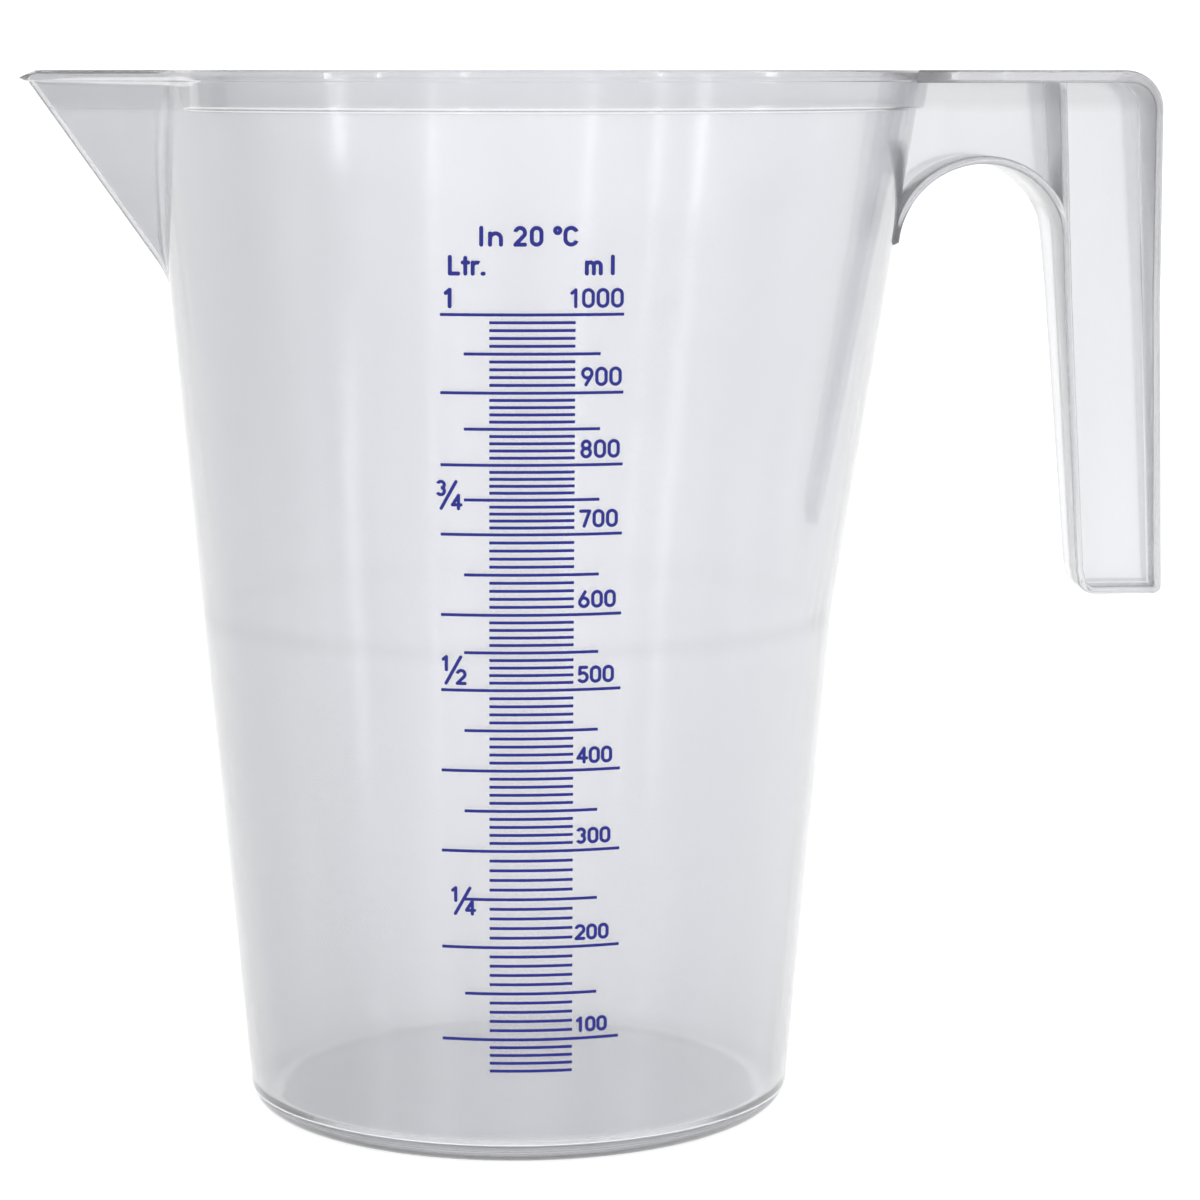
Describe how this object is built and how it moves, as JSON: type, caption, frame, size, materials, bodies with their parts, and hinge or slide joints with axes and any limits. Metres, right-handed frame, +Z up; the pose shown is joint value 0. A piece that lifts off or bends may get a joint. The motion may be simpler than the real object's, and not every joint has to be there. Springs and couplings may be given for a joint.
{
  "type": "measuring jug",
  "caption": "Translucent plastic measuring jug: tapered vessel, pointed pouring spout, open-ended grip handle and a printed blue volume scale on the front.",
  "frame": {"origin": "on the vessel's axis, in the plane that the foot ring stands on", "axes": "+Z up along the vessel, +X towards the handle, -X towards the spout, -Y the side that carries the printed scale"},
  "size_m": [0.1853, 0.127, 0.1695],
  "materials": {
    "translucent_polypropylene": "natural polypropylene, cloudy and see-through, smooth moulded gloss",
    "blue_scale_ink": "opaque dark blue screen-printed ink"
  },
  "bodies": {
    "root": {"vessel_floor": "translucent_polypropylene", "base_corner": "translucent_polypropylene", "foot_ring": "translucent_polypropylene", "lower_wall": "translucent_polypropylene", "upper_wall": "translucent_polypropylene", "rim_collar": "translucent_polypropylene", "pouring_spout": "translucent_polypropylene", "spout_lip": "translucent_polypropylene", "handle_top_strap": "translucent_polypropylene", "handle_back_flange": "translucent_polypropylene", "grip_bottom_flange": "translucent_polypropylene", "grip_finger_flange": "translucent_polypropylene", "handle_arch_flange": "translucent_polypropylene", "handle_bridge_web": "translucent_polypropylene", "handle_cross_rib": "translucent_polypropylene", "grip_web": "translucent_polypropylene", "scale_ticks_10ml": "blue_scale_ink", "scale_lines_50ml": "blue_scale_ink", "scale_lines_100ml": "blue_scale_ink", "scale_numerals": "blue_scale_ink", "scale_litre_fractions": "blue_scale_ink", "scale_unit_letters": "blue_scale_ink", "scale_temperature_note": "blue_scale_ink"}
  },
  "joints": []
}
